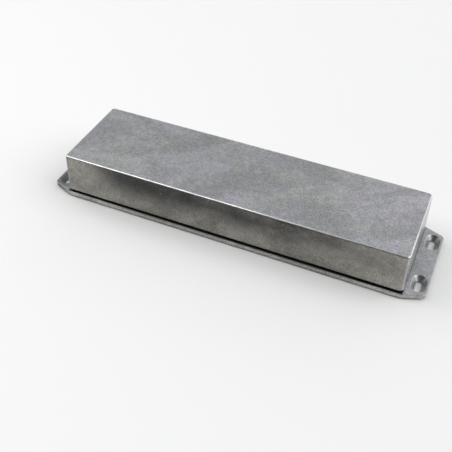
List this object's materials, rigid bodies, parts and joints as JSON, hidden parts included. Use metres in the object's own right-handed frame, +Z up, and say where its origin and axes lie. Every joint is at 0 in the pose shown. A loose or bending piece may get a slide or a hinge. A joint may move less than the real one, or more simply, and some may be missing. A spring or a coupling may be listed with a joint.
{
  "type": "flanged die cast enclosure",
  "caption": "Long low die cast aluminium box on a flanged lid with countersunk mounting slots at both ends, a gasket in the joint and flat head lid screws.",
  "frame": {"origin": "middle of the lid's flat underside, on the surface that the enclosure stands on", "axes": "+X along the length through both flanges, +Y across the width, +Z up from the lid to the closed top of the box"},
  "size_m": [0.283, 0.073, 0.0354],
  "materials": {
    "cast_aluminium": "bare die casting, tumbled, matt with cloudy smears",
    "lid_aluminium": "bare die casting, tumbled, matt",
    "gasket_rubber": "matt black sheet rubber",
    "screw_steel": "zinc plated"
  },
  "bodies": {
    "root": {"box": "cast_aluminium", "flanged_lid": "lid_aluminium", "gasket": "gasket_rubber", "lid_screws": "screw_steel"}
  },
  "joints": []
}
